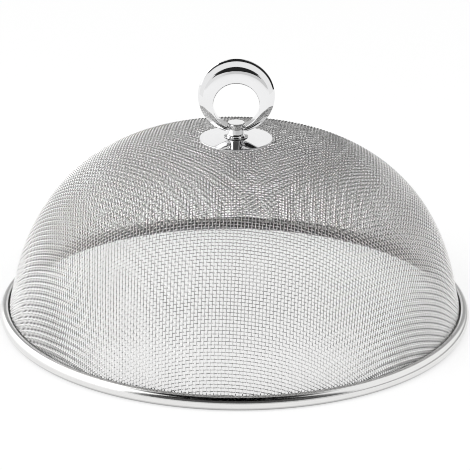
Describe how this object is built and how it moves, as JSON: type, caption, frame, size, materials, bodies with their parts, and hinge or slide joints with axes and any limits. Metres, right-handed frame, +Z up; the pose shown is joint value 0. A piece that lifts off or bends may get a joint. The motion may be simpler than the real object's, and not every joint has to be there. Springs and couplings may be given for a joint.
{
  "type": "mesh food cover",
  "caption": "Round domed food cover of woven steel wire cloth with a rolled polished rim, a crown plate and post, and a swinging ring handle.",
  "frame": {"origin": "centre of the plane that the rim rests on", "axes": "+Z up through the crown and the post, +X along the hinge of the ring handle, -Y towards the camera of the picture"},
  "size_m": [0.3, 0.3, 0.1683],
  "materials": {
    "woven_steel": "plain-woven bright stainless wire",
    "polished_steel": "rolled and polished, with faint lines along the strip",
    "chrome_plate": "mirror chrome on a casting",
    "plain_steel": "plain bright steel"
  },
  "bodies": {
    "root": {"mesh_dome": "woven_steel", "rim_band": "polished_steel", "hoop_wire": "plain_steel", "crown_plate": "chrome_plate", "handle_post": "chrome_plate", "inner_washer": "plain_steel", "lock_washer": "plain_steel", "handle_screw": "plain_steel"},
    "ring": {"ring_handle": "chrome_plate"}
  },
  "joints": [
    {"name": "ring_swing", "type": "hinge", "parent": "root", "child": "ring", "pos_m": [0, 0, 0.12345], "axis": [1, 0, 0], "range_deg": [-97, 97]}
  ]
}
